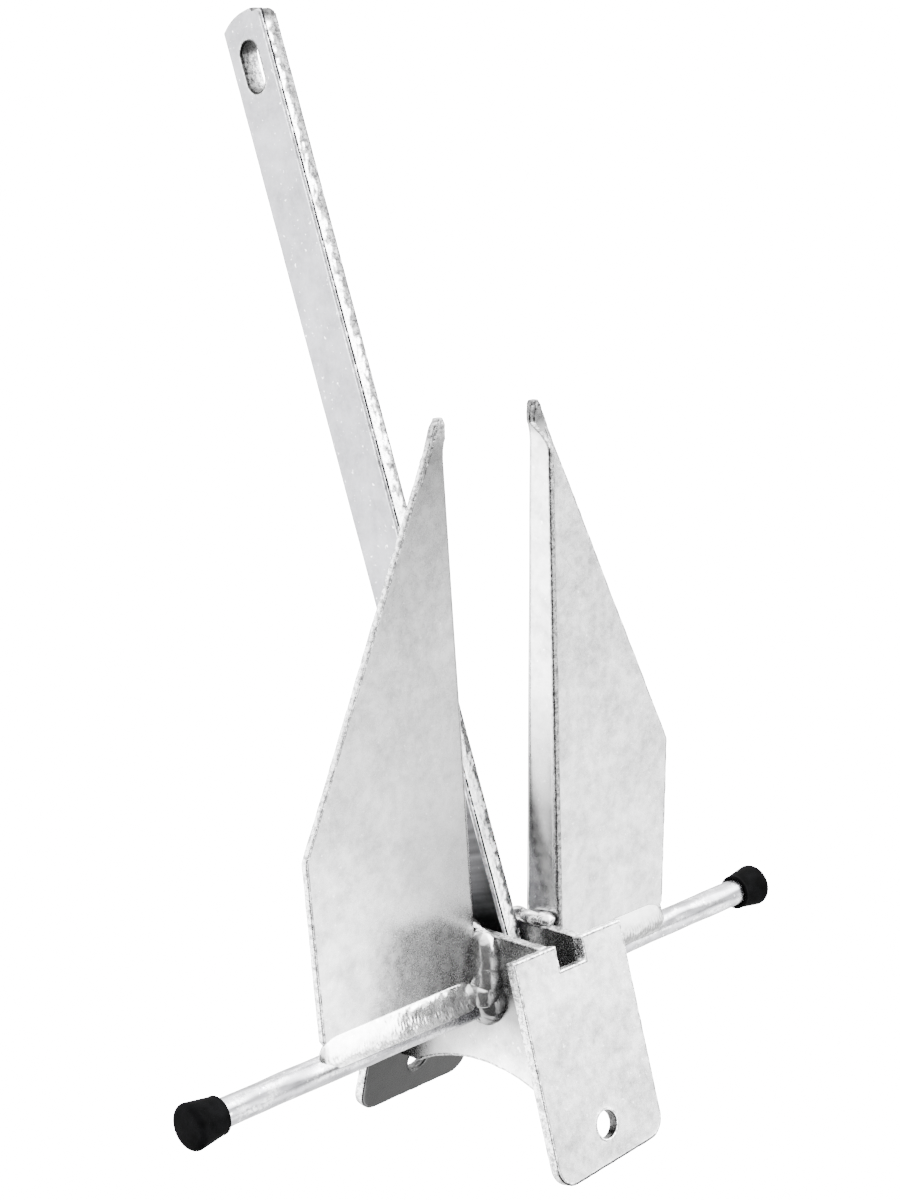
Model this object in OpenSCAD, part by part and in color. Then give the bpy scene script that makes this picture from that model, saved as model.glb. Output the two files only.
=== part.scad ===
// Hinged plate anchor with two folded flukes, welded from galvanised steel.
// +X runs along the stock, +Z the way the flukes point, and the shank leans towards +Y.
// The origin is on the ground, under the middle of the anchor's box.

/* [Stock] */
// Diameter of the round bar
stock_d = 16; // [12:1:20]
// Length of the round bar without its caps
stock_len = 450; // [380:5:500]
// Length of a rubber end cap
cap_len = 21; // [15:1:30]
// Diameter of a cap at its mouth
cap_mouth_d = 20.6; // [20:0.2:24]
// Diameter of a cap at its outer end
cap_end_d = 25; // [24:0.5:30]
// Thickness of a cap's end wall
cap_wall = 3; // [2:0.5:6]

/* [Shank] */
// Width of the flat bar, across its swing
shank_w = 35; // [28:1:38]
// Thickness of the flat bar, along the stock
shank_t = 13; // [10:0.5:16]
// Length from the middle of the stock to the head
shank_len = 561; // [450:1:650]
// Radius of the curved head
head_r = 35; // [25:1:60]
// How far the head's curve is centred towards the front
head_shift = 2.5; // [0:0.5:5]
// Radius of the bar's long edges
shank_edge_r = 1.5; // [0.5:0.5:3]
// Diameter of the eye that turns on the stock
eye_d = 17; // [16.5:0.5:20]
// Width of the shackle slot
slot_w = 13.5; // [8:0.5:16]
// Length of the shackle slot over its round ends
slot_len = 28; // [20:1:40]
// Distance from the middle of the stock to the middle of the slot
slot_at = 529.5; // [400:0.5:600]
// Lean of the shank from upright at rest
shank_lean = 18.4; // [0:0.1:35]
// How far the shank has slid along the stock in its side play
shank_shift = 3.2; // [-3.2:0.1:3.2]

/* [Crown] */
// Gap between the two cheeks
cheek_gap = 21; // [20:0.5:26]
// Thickness of a cheek
cheek_t = 6; // [4:0.5:8]
// Radius of the hollow in a cheek's lower edge
cheek_arc_r = 104; // [80:1:140]
// Distance from the stock down to the top of that hollow
cheek_arc_drop = 36; // [25:1:40]
// Distance from the stock down to a cheek's lowest edges
cheek_low = 49.5; // [45:0.5:60]
// Width of a crown plate
plate_w = 86; // [60:1:110]
// Length of a crown plate, measured down its slope
plate_len = 124.3; // [110:0.1:135]
// How much shorter the front crown plate is cut at its +X side
front_cut = 3.4; // [0:0.1:6]
// Thickness of a crown plate
plate_t = 6; // [4:0.5:8]
// Slope of a crown plate from upright
plate_tilt = 14.5; // [8:0.5:20]
// Distance from the stock back to a crown plate's top outer edge
plate_top_y = 49.2; // [45:0.1:55]
// Height of that edge above the stock
plate_top_z = 42.1; // [38:0.1:46]
// Radius of the lower corners of a crown plate
plate_corner_r = 12; // [4:1:20]
// Width of the notch that takes the shank
notch_w = 20; // [20:0.5:24]
// Depth of the notch
notch_d = 13.3; // [8:0.1:18]
// Diameter of the hole for a tripping line
trip_d = 15; // [8:0.5:18]
// Distance from the crown plate's top edge down to that hole
trip_at = 101.7; // [80:0.1:105]

/* [Flukes] */
// Thickness of the fluke plate
fluke_t = 4; // [3:0.5:6]
// Distance from the middle of the anchor to the fold, level with the stock
fold_x = 18.5; // [18:0.1:24]
// Lean of the fold away from the middle
fold_lean = 2.6; // [0:0.1:5]
// Outside radius of the fold
fold_r = 5; // [5:0.5:8]
// Height of the fluke's tip above the stock
tip_z = 325.7; // [280:0.1:360]
// Distance of the tip from the middle of the anchor
tip_x = 38.2; // [37:0.1:45]
// Width of the blunt end of the tip
tip_w = 3.2; // [0.8:0.1:5]
// Length of the tip's slanted inner side
tip_slant = 8; // [5:0.5:12]
// Distance of the fluke's widest corner from the middle
wide_x = 143; // [100:0.1:160]
// Height of the widest corner above the stock
wide_z = 113.6; // [70:0.1:140]
// Distance of the lower outer corner from the middle
base_x = 136.7; // [100:0.1:150]
// Height of that corner above the stock
base_z = 15.3; // [12:0.1:20]
// Depth of the folded flange level with the stock
flange_low = 27.8; // [15:0.1:32]
// Depth of the flange where its rounded top begins
flange_high = 17; // [8:0.1:22]
// Height above the stock where the flange's rounded top begins
flange_top_z = 301; // [240:1:310]

/* [Welds] */
// Height above the stock's middle that the long fluke beads reach on the plate
bead_top = 16.8; // [13:0.1:20]
// Outer end of the long fluke beads
bead_end_x = 139; // [110:1:150]
// Leg of the ring bead where the stock enters a cheek
ring_leg = 5; // [3:0.5:7]
// Leg of the beads between the cheeks and the crown plates
seam_leg = 5; // [3:0.5:7]
// Radius of the filling between a fluke's root and its cheek
root_r = 8; // [6:0.5:9]
// Radius of the bead between a flange and the top of its cheek
flange_bead_r = 6; // [4:0.5:7]

/* [Hidden] */
$fn = 96;

stock_r = stock_d / 2;
cheek_in = cheek_gap / 2;
cheek_out = cheek_in + cheek_t;
// The crown plate's inner top edge, where the cheek's flat top ends
inner_top_y = plate_top_y - plate_t * cos(plate_tilt);
inner_top_z = plate_top_z - plate_t * sin(plate_tilt);
// The fluke's lower outer corner is cut off
base_cut = 4;
base_step = 3;
// The fluke stands just clear of the stock, and the long beads join them
foot_gap = 0.2;
fluke_foot = stock_r + foot_gap;
// The long bead's round face passes through a point on the plate and one on the stock
bead_low_angle = 146;
bead_bulge = 1.8;
bead_a = [-fluke_t / 2, bead_top];
bead_b = stock_r * [cos(bead_low_angle), sin(bead_low_angle)];
bead_chord = norm(bead_a - bead_b);
bead_r = bead_chord * bead_chord / (8 * bead_bulge) + bead_bulge / 2;
bead_in = [bead_a[1] - bead_b[1], bead_b[0] - bead_a[0]] / bead_chord;
bead_centre = (bead_a + bead_b) / 2 + (bead_r - bead_bulge) * bead_in;
bead_gap = 0.3;
// The fold ends below the tip, which is forged a hair thinner and laps over the fold
fold_short = 1;
fold_end_z = flange_top_z + flange_high - fluke_t - fold_short;
tip_lap = 3;
tip_thin = 0.1;
// The root filling's centre line, beside the fold and clear of the cheek
root_out = 4;
root_side = 1.5;
root_rise = 2;
root_x = cheek_out + root_out;
root_y = fluke_t / 2 + root_side;
root_top = inner_top_z + root_rise;
// The flange bead's centre above and outside the cheek's top edge, and its gap from the flange's free edge
flange_bead_at = 1;
flange_bead_gap = 2;
// The seam beads stop short of both ends of the cheek
seam_gap = 4;
seam_low = (inner_top_z + cheek_low) / cos(plate_tilt) - seam_gap;
// Ends of the box that the origin is centred in
head_sag = head_r - sqrt(head_r * head_r - (shank_w / 2 + head_shift) * (shank_w / 2 + head_shift));
back_y = (shank_len - head_sag) * sin(shank_lean) + shank_w / 2 * cos(shank_lean);
front_y = -plate_top_y - plate_len * sin(plate_tilt);
low_z = plate_top_z - plate_len * cos(plate_tilt) - plate_t * sin(plate_tilt);
stock_at = [0, -(back_y + front_y) / 2, -low_z];
// Longer than any piece, for cuts that go right through
big = 400;

// Distance of the fold, and of the fluke's outer edge, from the middle at height z
function fold_at(z) = fold_x + z * tan(fold_lean);
function outer_at(z) = tip_x + (wide_x - tip_x) * (tip_z - z) / (tip_z - wide_z);

// A crown plate's round corner, as points from one angle to another
corner_steps = 16;
function corner_points(x, y, from, to) = [
    for (i = [0:corner_steps]) let (a = from + (to - from) * i / corner_steps)
        [x + plate_corner_r * cos(a), y + plate_corner_r * sin(a)]
];

// Puts a child drawn about the middle of the stock in its place
module on_stock() translate(stock_at) children();

// A child of the right half, or turned half a turn about +Z for the left
module half(side) rotate([0, 0, side == "left" ? 180 : 0]) children();

// A child drawn upright in X and Z, mirrored to the back for the back crown plate
module end_of_crown(which) mirror([0, which == "back" ? 1 : 0, 0])
    translate([0, -plate_top_y, plate_top_z]) rotate([-plate_tilt, 0, 0]) children();

// A 2D child in Y and Z drawn out along +X from x0 to x1
module along_x(x0, x1) translate([x0, 0, 0]) rotate([90, 0, 90])
    linear_extrude(x1 - x0) children();

// A 2D child in X and Z drawn out along +Y from y0 to y1
module along_y(y0, y1) translate([0, y1, 0]) rotate([90, 0, 0])
    linear_extrude(y1 - y0) children();

// A rectangle about the origin with round corners
module round_rect(w, h, r) {
    square([w - 2 * r, h], center = true);
    square([w, h - 2 * r], center = true);
    for (sx = [-1, 1], sy = [-1, 1])
        translate([sx * (w / 2 - r), sy * (h / 2 - r)]) circle(r);
}

// The shank's wide side: a round foot about the stock and a curved head
module shank_side() intersection() {
    union() {
        circle(shank_w / 2);
        translate([-shank_w / 2, 0]) square([shank_w, shank_len]);
    }
    union() {
        translate([-shank_w, -shank_w]) square([2 * shank_w, shank_len - head_r + shank_w]);
        translate([-head_shift, shank_len - head_r]) circle(head_r);
    }
}

module shackle_slot() {
    reach = slot_len / 2 - slot_w / 2;
    square([slot_w, 2 * reach], center = true);
    for (s = [-1, 1]) translate([0, s * reach]) circle(slot_w / 2);
}

module shank() color("silver") on_stock() translate([shank_shift, 0, 0])
    rotate([-shank_lean, 0, 0]) difference() {
        intersection() {
            along_x(-shank_t, shank_t) shank_side();
            translate([0, 0, -shank_w]) linear_extrude(shank_len + 2 * shank_w)
                round_rect(shank_t, shank_w, shank_edge_r);
        }
        rotate([0, 90, 0]) cylinder(d = eye_d, h = 2 * shank_t, center = true);
        along_x(-shank_t, shank_t) translate([0, slot_at]) shackle_slot();
    }

module stock_rod() color("lightgray") on_stock()
    rotate([0, 90, 0]) cylinder(d = stock_d, h = stock_len, center = true);

// Rubber cap: a cone that widens to a rounded outer end, bored for the stock
module end_cap(side) color([0.08, 0.08, 0.09]) on_stock() half(side) {
    edge = 3;
    total = cap_len;
    mouth_r = cap_mouth_d / 2;
    end_r = cap_end_d / 2;
    translate([stock_len / 2 + cap_wall - total, 0, 0]) rotate([90, 0, 90])
        rotate_extrude() {
            difference() {
                union() {
                    polygon([[0, 0], [mouth_r, 0], [end_r, total - edge], [0, total - edge]]);
                    translate([0, total - edge]) square([end_r - edge, edge]);
                    intersection() {
                        translate([end_r - edge, total - edge]) circle(edge);
                        translate([0, total - edge]) square([end_r, edge]);
                    }
                }
                square([stock_r, total - cap_wall]);
            }
        }
}

// The fluke below its tip, seen along +Y and left wide of the fold
module fluke_outline() polygon([
    [base_x - base_cut, fluke_foot],
    [base_x - base_step, base_z - base_cut],
    [base_x, base_z],
    [wide_x, wide_z],
    [outer_at(fold_end_z), fold_end_z],
    [fold_x / 2, fold_end_z],
    [fold_x / 2, fluke_foot]
]);

// The tip, forged a hair thinner than the plate
module tip_outline() polygon([
    [fold_at(fold_end_z - tip_lap) + fold_r / 2, fold_end_z - tip_lap],
    [outer_at(fold_end_z - tip_lap) - tip_thin, fold_end_z - tip_lap],
    [tip_x - tip_thin, tip_z],
    [tip_x - tip_w, tip_z],
    [fold_at(tip_z - tip_slant), tip_z - tip_slant],
    [fold_at(fold_end_z) + tip_thin, fold_end_z]
]);

// Section through plate and flange, square to the fold
module fold_section() {
    reach = wide_x + fluke_t;
    translate([fold_r, -fluke_t / 2]) square([reach, fluke_t]);
    translate([0, -flange_low - fluke_t]) square([fluke_t, flange_low + 3 * fluke_t / 2 - fold_r]);
    translate([fold_r, fluke_t / 2 - fold_r]) difference() {
        intersection() {
            circle(fold_r);
            translate([-fold_r, 0]) square(fold_r);
        }
        circle(fold_r - fluke_t);
    }
}

// The flange's free edge and rounded top, seen along +X
module flange_outline() {
    back = fluke_t / 2;
    polygon([
        [back + 1, 0],
        [back + 1, flange_top_z],
        [back - flange_high, flange_top_z],
        [back - flange_low, 0]
    ]);
    intersection() {
        translate([-back, flange_top_z]) circle(flange_high - fluke_t);
        translate([back + 1 - big, 0]) square(big);
    }
}

module fluke(side) color("gainsboro") on_stock() half(side) {
    half_tip = fluke_t / 2 - tip_thin;
    intersection() {
        translate([fold_x, 0, 0]) rotate([0, fold_lean, 0])
            translate([0, 0, -fluke_foot]) linear_extrude(big) fold_section();
        along_x(0, big) flange_outline();
        along_y(-big, big) fluke_outline();
    }
    along_y(-half_tip, half_tip) tip_outline();
}

// Side of the crown: flat top, sloping ends and a hollow lower edge
module cheek_outline() {
    slope = tan(plate_tilt);
    half_low = inner_top_y + (inner_top_z + cheek_low) * slope;
    difference() {
        polygon([
            [-half_low, -cheek_low],
            [half_low, -cheek_low],
            [inner_top_y, inner_top_z],
            [-inner_top_y, inner_top_z]
        ]);
        translate([0, -cheek_arc_drop - cheek_arc_r]) circle(cheek_arc_r, $fn = 180);
        circle(stock_r);
    }
}

module cheek(side) color("silver") on_stock() half(side)
    along_x(cheek_in, cheek_out) cheek_outline();

// A crown plate, shorter at its +X side by cut
module crown_outline(cut) {
    corner_x = plate_w / 2 - plate_corner_r;
    corner_y = plate_corner_r - plate_len;
    low = 270 + atan(cut / (2 * corner_x));
    difference() {
        polygon(concat(
            [[plate_w / 2, 0], [-plate_w / 2, 0]],
            corner_points(-corner_x, corner_y, 180, low),
            corner_points(corner_x, corner_y + cut, low, 360)
        ));
        translate([-notch_w / 2, -notch_d]) square([notch_w, 2 * notch_d]);
        translate([0, -trip_at]) circle(trip_d / 2);
    }
}

module crown_plate(which) color("gainsboro") on_stock() end_of_crown(which)
    along_y(0, plate_t) crown_outline(which == "front" ? front_cut : 0);

// Section of a long bead on the front of a fluke, seen along +X
module bead_section() difference() {
    intersection() {
        translate(bead_centre) circle(bead_r, $fn = 180);
        translate([-fluke_t / 2 - bead_r, 0]) square([bead_r, 2 * bead_r]);
    }
    circle(stock_r);
}

// The bead on the flange's side of a fluke starts outside the flange,
// and the one on its plain side starts outside the root filling
module fluke_bead(side, on_flange_side) color("whitesmoke") on_stock() half(side)
    mirror([0, on_flange_side ? 0 : 1, 0]) {
        flange_end = fold_at(bead_top) + fluke_t / cos(fold_lean) + bead_gap;
        root_end = root_x + root_r + bead_gap;
        along_x(on_flange_side ? flange_end : root_end, bead_end_x) bead_section();
    }

// The filling between a fluke's fold and its cheek, on the plain side of the plate
module root_weld(side) color("whitesmoke") on_stock() half(side) difference() {
    translate([root_x, root_y, fluke_foot]) cylinder(r = root_r, h = root_top - fluke_foot);
    translate([0, fluke_t / 2 - big, 0]) cube([big, big, big]);
    cube([cheek_out, big, big]);
    rotate([0, 90, 0]) cylinder(d = stock_d, h = big);
}

// The bead between a flange's inner face and the top of its cheek
module flange_weld(side) color("whitesmoke") on_stock() half(side) difference() {
    along_y(fluke_t / 2 - flange_low + flange_bead_gap, -fluke_t / 2)
        translate([cheek_out, inner_top_z] + [flange_bead_at, flange_bead_at]) circle(flange_bead_r);
    translate([fold_x, 0, 0]) rotate([0, fold_lean, 0])
        translate([0, -big / 2, -big / 2]) cube([big, big, big]);
    translate([0, -big / 2, inner_top_z - big]) cube([cheek_out, big, big]);
    translate([cheek_out - flange_bead_r, -big / 2, inner_top_z])
        mirror([1, 0, 0]) cube([big, big, big]);
}

// Ring bead around the lower side of the stock, on a cheek's outer face
module stock_weld(side) color("whitesmoke") on_stock() half(side) intersection() {
    translate([cheek_out, 0, 0]) rotate([90, 0, 90]) rotate_extrude() intersection() {
        translate([stock_r, 0]) circle(ring_leg);
        translate([stock_r, 0]) square(ring_leg);
    }
    translate([0, -big / 2, -big]) cube([big, big, big]);
}

// Bead between a cheek's outer face and a crown plate's inner face
module seam_weld(which, s) color("whitesmoke") on_stock() end_of_crown(which)
    translate([s * cheek_out, plate_t, -seam_low]) linear_extrude(seam_low - seam_gap) intersection() {
        circle(seam_leg);
        translate([s < 0 ? -seam_leg : 0, 0]) square(seam_leg);
    }

shank();
stock_rod();
end_cap("left");  // end_cap_left
end_cap("right");  // end_cap_right
fluke("left");  // fluke_left
fluke("right");  // fluke_right
cheek("left");  // cheek_left
cheek("right");  // cheek_right
crown_plate("front");  // crown_plate_front
crown_plate("back");  // crown_plate_back
fluke_bead("left", false);  // weld_fluke_left_front
fluke_bead("left", true);  // weld_fluke_left_back
fluke_bead("right", true);  // weld_fluke_right_front
fluke_bead("right", false);  // weld_fluke_right_back
root_weld("left");  // weld_root_left
root_weld("right");  // weld_root_right
flange_weld("left");  // weld_flange_left
flange_weld("right");  // weld_flange_right
stock_weld("left");  // weld_stock_left
stock_weld("right");  // weld_stock_right
seam_weld("front", -1);  // weld_seam_front_left
seam_weld("front", 1);  // weld_seam_front_right
seam_weld("back", -1);  // weld_seam_back_left
seam_weld("back", 1);  // weld_seam_back_right
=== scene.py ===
"""Hinged plate anchor, hot-dip galvanised, on a pale floor under soft studio light.

Every piece is modelled in millimetres about the middle of the stock, +X along the stock, +Z the way the
flukes point, and then put in the CAD frame, in metres. The left half is the right half turned half a turn.
"""

import math

import bmesh
import bpy
import numpy as np
from mathutils import Euler, Matrix, Vector, noise


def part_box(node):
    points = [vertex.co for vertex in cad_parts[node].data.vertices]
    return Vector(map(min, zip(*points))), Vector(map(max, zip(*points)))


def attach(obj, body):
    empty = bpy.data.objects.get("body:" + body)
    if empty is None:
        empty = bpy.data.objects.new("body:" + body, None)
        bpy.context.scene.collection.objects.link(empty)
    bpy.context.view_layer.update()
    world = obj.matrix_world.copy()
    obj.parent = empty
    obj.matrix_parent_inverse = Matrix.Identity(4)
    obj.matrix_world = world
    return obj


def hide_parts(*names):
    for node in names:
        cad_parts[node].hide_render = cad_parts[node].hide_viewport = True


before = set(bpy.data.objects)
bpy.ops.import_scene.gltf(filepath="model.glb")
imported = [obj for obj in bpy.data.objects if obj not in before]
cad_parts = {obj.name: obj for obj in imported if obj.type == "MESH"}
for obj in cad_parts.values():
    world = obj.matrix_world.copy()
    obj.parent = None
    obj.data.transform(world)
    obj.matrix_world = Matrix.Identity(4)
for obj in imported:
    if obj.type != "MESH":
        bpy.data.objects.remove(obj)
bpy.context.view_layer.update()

MM = 0.001
stock_low, stock_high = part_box("stock_rod")
MID = np.array((stock_low + stock_high) / 2)

# ---------------------------------------------------------------- driving sizes, in mm and degrees
STOCK_R = 8.0
STOCK_LEN = 450.0
CAP_LEN, CAP_MOUTH_R, CAP_END_R, CAP_WALL = 21.0, 10.3, 12.5, 3.0

SHANK_W, SHANK_T, SHANK_LEN = 35.0, 13.0, 561.0
SHANK_LEAN, SHANK_SHIFT = 18.4, 3.2
HEAD_R, HEAD_SHIFT, HEAD_WORN, EYE_R = 35.0, 2.5, 3.2, 8.5
SLOT_W, SLOT_LEN, SLOT_AT = 13.5, 28.0, 529.5

CHEEK_IN, CHEEK_T = 10.5, 6.0
CHEEK_OUT = CHEEK_IN + CHEEK_T
CHEEK_LOW, ARC_DROP, ARC_R = 49.5, 36.0, 104.0
PLATE_W, PLATE_LEN, PLATE_T, PLATE_TILT = 86.0, 124.3, 6.0, 14.5
PLATE_TOP_Y, PLATE_TOP_Z, PLATE_CORNER_R = 49.2, 42.1, 12.0
NOTCH_W, NOTCH_D, TRIP_R, TRIP_AT, FRONT_CUT = 20.0, 13.3, 7.5, 101.7, 3.4

FLUKE_T, FLUKE_FOOT = 4.0, 8.2
FOLD_X, FOLD_LEAN, FOLD_R = 18.5, 2.6, 5.0
TIP_Z, TIP_X, TIP_TOP, TIP_SLANT, TIP_SWELL = 325.7, 38.2, 3.2, 8.0, 1.5
WIDE_X, WIDE_Z = 143.0, 113.6
BASE_X, BASE_Z, BASE_CUT = 136.7, 15.3, 4.0
FLANGE_LOW, FLANGE_HIGH, FLANGE_TOP_Z = 27.8, 17.0, 301.0

BEAD_TOP, BEAD_END_X = 16.8, 139.0
# The radius of a plate's edge, how deep its wear is, and how far apart the points of an outline are
EDGE_R, WEAR = 0.8, 0.22
PLATE_STEP, SHANK_STEP = 2.0, 1.4


def radians_of(degrees):
    return degrees * math.pi / 180


TILT = radians_of(PLATE_TILT)
INNER_TOP_Y = PLATE_TOP_Y - PLATE_T * math.cos(TILT)
INNER_TOP_Z = PLATE_TOP_Z - PLATE_T * math.sin(TILT)


def fold_at(z):
    """How far the fold is from the middle of the anchor at height z."""
    return FOLD_X + z * math.tan(radians_of(FOLD_LEAN))


def outer_at(z):
    """How far the fluke's outer edge is from the middle of the anchor at height z."""
    return float(np.interp(z, (FLUKE_FOOT, BASE_Z - BASE_CUT, BASE_Z, WIDE_Z, TIP_Z),
                           (BASE_X - BASE_CUT, BASE_X - 3, BASE_X, WIDE_X, TIP_X)))


# ---------------------------------------------------------------- painted light and shade, piece by piece
# 1 is clean zinc, lower is darker and higher lighter, mostly painted shade and painted reflections. The
# stops are (place, how light), with the place in mm up, towards +Y or along the piece, and for the rod in
# parts of its radius, up.
# Painted shade on surfaces that face down: where it starts, over what span, and how much darker
UNDER_FROM, UNDER_SPAN, UNDER_SHADE = 0.6, 0.3, 0.8
# Painted shade on the crown plates' inner faces, under their lower edges and on the walls of their holes
PLATE_INSIDE_SHADE = {"back": 0.03, "front": 0.9}
LOW_EDGE_SHADE, HOLE_SHADE = 0.03, 0.05
# Painted shade on the cheeks' inner faces, and painted light and shade on their outer faces, by height and
# depth
CHEEK_INSIDE_SHADE = 0.5
CHEEK_LIGHT_BY_HEIGHT = ((-36, 1.6), (-24, 1.0), (-10, 0.35), (8, 0.25), (22, 0.6))
CHEEK_LIGHT_BY_DEPTH = ((-12, 1.0), (26, 0.3), (55, 0.2))
# Painted shade low on the shank's near face, by length along it
SHANK_SHADE_BY_LENGTH = ((60, 0.08), (150, 0.2), (230, 1.0))
# Painted reflections and painted shade up the flanges
FLANGE_LIGHT_BY_HEIGHT = ((30, 1.6), (72, 1.1), (84, 0.45), (102, 0.3), (118, 0.5), (180, 1.1))
FREE_EDGE_TONE = 0.28
TIP_TONE = {"left": 0.35, "right": 0.16}
# Painted light and shade round the rod, by height
ROD_LIGHT_BY_HEIGHT = ((0, 1.8), (0.3, 0.5), (0.5, 0.28), (0.7, 1.7), (0.92, 1.7), (1.0, 0.9))
# Painted light on the left long beads and painted shade on the right ones
BEAD_LIGHT_BY_SIDE = {"left": 1.7, "right": 0.65}
RING_TONE, SEAM_TONE = 0.55, 0.8
# Where the painted highlight on the shank's narrow side gives way to darker strokes, by length along it,
# and how the strokes lie
HIGHLIGHT_ENDS = ((0, 0.5), (200, 0.56), (320, 0.44), (480, 0.26), (550, 0.1))
STROKES_LIE = np.array(((1, 0, 0), (0, 0.45, -0.5), (0, 0.5, 0.9)))


# ---------------------------------------------------------------- mesh helpers
def half_turn(points):
    """The left half's points: the right half turned half a turn about +Z."""
    return points * np.array((-1, -1, 1))


def bump(points, size, seed=0.0):
    """Smooth noise from -1 to 1 at each point, with bumps about size mm wide."""
    shift = Vector((seed * 7.3, seed * 3.1, seed * 5.7))
    return np.array([noise.noise(Vector(p) / size + shift) for p in points])


def follow(value, stops):
    """What (at, value) stops give at value, straight between them."""
    return np.interp(value, *zip(*stops))


def grid_faces(rows, cols, first=0, wrap_rows=False):
    """Quads between neighbouring rows of closed rings."""
    faces = []
    for i in range(rows if wrap_rows else rows - 1):
        here, below = first + i * cols, first + (i + 1) % rows * cols
        for j in range(cols):
            k = (j + 1) % cols
            faces.append((here + j, here + k, below + k, below + j))
    return faces


def end_faces(count, cols):
    """The two faces that close a row of rings, each of cols points, of count points in all."""
    return [tuple(range(cols)), tuple(range(count - cols, count))]


def vertex_normals(mesh):
    normals = np.empty(len(mesh.vertices) * 3, np.float32)
    mesh.vertex_normals.foreach_get("vector", normals)
    return normals.reshape(-1, 3)


# What each point of a piece tells its material: how chipped it is, how much of a dark line it is on, how
# light it is there, in painted light and shade and some tone that varies at random, and how much shinier,
# each with its usual value
MARKS = {"edge": 0.0, "line": 0.0, "shade_and_tone": 1.0, "shine": 0.0}
# An edge mark under the first is on a flat face, and one over the second is round a side
FACE_MARK, SIDE_MARK = 0.15, 0.9


def make_piece(name, points, faces, material, body, node, marks=None, rough=None):
    """A closed piece from points in mm about the middle of the stock, with painted shade on its undersides.

    marks gives named values for each point, which the materials read. rough gives how far each point
    moves out along its normal, in mm.
    """
    mesh = bpy.data.meshes.new(name)
    mesh.from_pydata([tuple(p) for p in points], [], faces)
    shape = bmesh.new()
    shape.from_mesh(mesh)
    bmesh.ops.recalc_face_normals(shape, faces=shape.faces)
    shape.to_mesh(mesh)
    shape.free()
    normals = vertex_normals(mesh)
    marks = dict(marks or {})
    # Painted shade on surfaces that face down
    under = np.clip((-normals[:, 2] - UNDER_FROM) / UNDER_SPAN, 0, 1)
    marks["shade_and_tone"] = marks.get("shade_and_tone", 1.0) * (1 - UNDER_SHADE * under)
    if rough is not None:
        points = points + normals * np.asarray(rough)[:, None]
    mesh.vertices.foreach_set("co", (MID + MM * points).astype(np.float32).ravel())
    for key, usual in MARKS.items():
        values = marks.get(key, np.full(len(points), usual))
        mesh.attributes.new(key, "FLOAT", "POINT").data.foreach_set("value", np.asarray(values, np.float32))
    mesh.shade_smooth()
    mesh.update()
    mesh.materials.append(material)
    piece = bpy.data.objects.new(name, mesh)
    bpy.context.scene.collection.objects.link(piece)
    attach(piece, body)
    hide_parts(node)
    return piece


# ---------------------------------------------------------------- slabs: plates and bars with worn edges
def arc(cx, cy, r, start, end, steps):
    """Points on an arc, in degrees, from start to end."""
    return [(cx + r * math.cos(radians_of(a)), cy + r * math.sin(radians_of(a)))
            for a in np.linspace(start, end, steps)]


def loop_points(loop, inset, step):
    """A closed outline moved to its left by inset, with its edges cut into pieces of about step."""
    loop = np.array(loop, float)
    ahead = np.roll(loop, -1, axis=0) - loop
    length = np.linalg.norm(ahead, axis=1, keepdims=True)
    ahead /= length
    left = np.stack((-ahead[:, 1], ahead[:, 0]), axis=1)
    before = np.roll(left, 1, axis=0)
    miter = (left + before) / np.maximum(1 + (left * before).sum(1, keepdims=True), 0.5)
    moved = loop + inset * miter
    points = []
    for i, edge in enumerate(length[:, 0]):
        n = max(1, round(edge / step))
        for k in range(n):
            points.append(moved[i] + (moved[(i + 1) % len(loop)] - moved[i]) * k / n)
    return np.array(points)


def turned_over(rings):
    """The same rings on the lower side of a plate, from its edge inwards."""
    return [(inset, -height, edge, line) for inset, height, edge, line in reversed(rings)]


def plate_profile(thickness, radius, side_steps):
    """Rings round a plate's edge from its top face to its lower one: inset, height, edge and line marks."""
    half = thickness / 2
    face = [(3.5, half, 0, 0), (radius + 1.0, half, 0.1, 0),
            (radius + 0.45, half, 0.6, 1), (radius, half, 1, 0.2)]
    corner = [(radius * (1 - math.sin(a)), half - radius * (1 - math.cos(a)), 1, 0)
              for a in np.linspace(0, math.pi / 2, 4)[1:]]
    side = [(0, h, 1, 0) for h in np.linspace(half - radius, radius - half, side_steps + 1)[1:-1]]
    upper = face + corner
    return upper + side + turned_over(upper)


def slab(loops, profiles, step):
    """Points (outline x, outline y, height), faces and marks of a slab with an edge profile for each loop.

    The first loop runs anticlockwise and the holes run clockwise, so that the metal is on the left of each.
    """
    points, faces, edge, line = [], [], [], []
    shape = bmesh.new()
    rims = [[], []]
    for loop, profile in zip(loops, profiles):
        first = len(points)
        for inset, height, edge_mark, line_mark in profile:
            ring = loop_points(loop, inset, step)
            points += [(x, y, height) for x, y in ring]
            edge += [edge_mark] * len(ring)
            line += [line_mark] * len(ring)
        cols = len(ring)
        faces += grid_faces(len(profile), cols, first)
        rims[0].append(range(first, first + cols))
        rims[1].append(range(len(points) - cols, len(points)))
    verts = [shape.verts.new(p) for p in points]
    for side in rims:
        edges = [shape.edges.new((verts[a], verts[b]))
                 for rim in side for a, b in zip(rim, list(rim[1:]) + [rim[0]])]
        bmesh.ops.triangle_fill(shape, use_beauty=True, use_dissolve=False, edges=edges)
    shape.verts.index_update()
    faces += [tuple(v.index for v in f.verts) for f in shape.faces]
    shape.free()
    return np.array(points), faces, {"edge": np.array(edge), "line": np.array(line)}


def worn(points, marks, seed, depth=WEAR):
    """How far a slab's worn edges stand out of true."""
    coarse = bump(points, 6, seed) * depth
    fine = bump(points, 1.6, seed + 1) * depth * 0.5
    return marks["edge"] * (coarse + fine)


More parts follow.
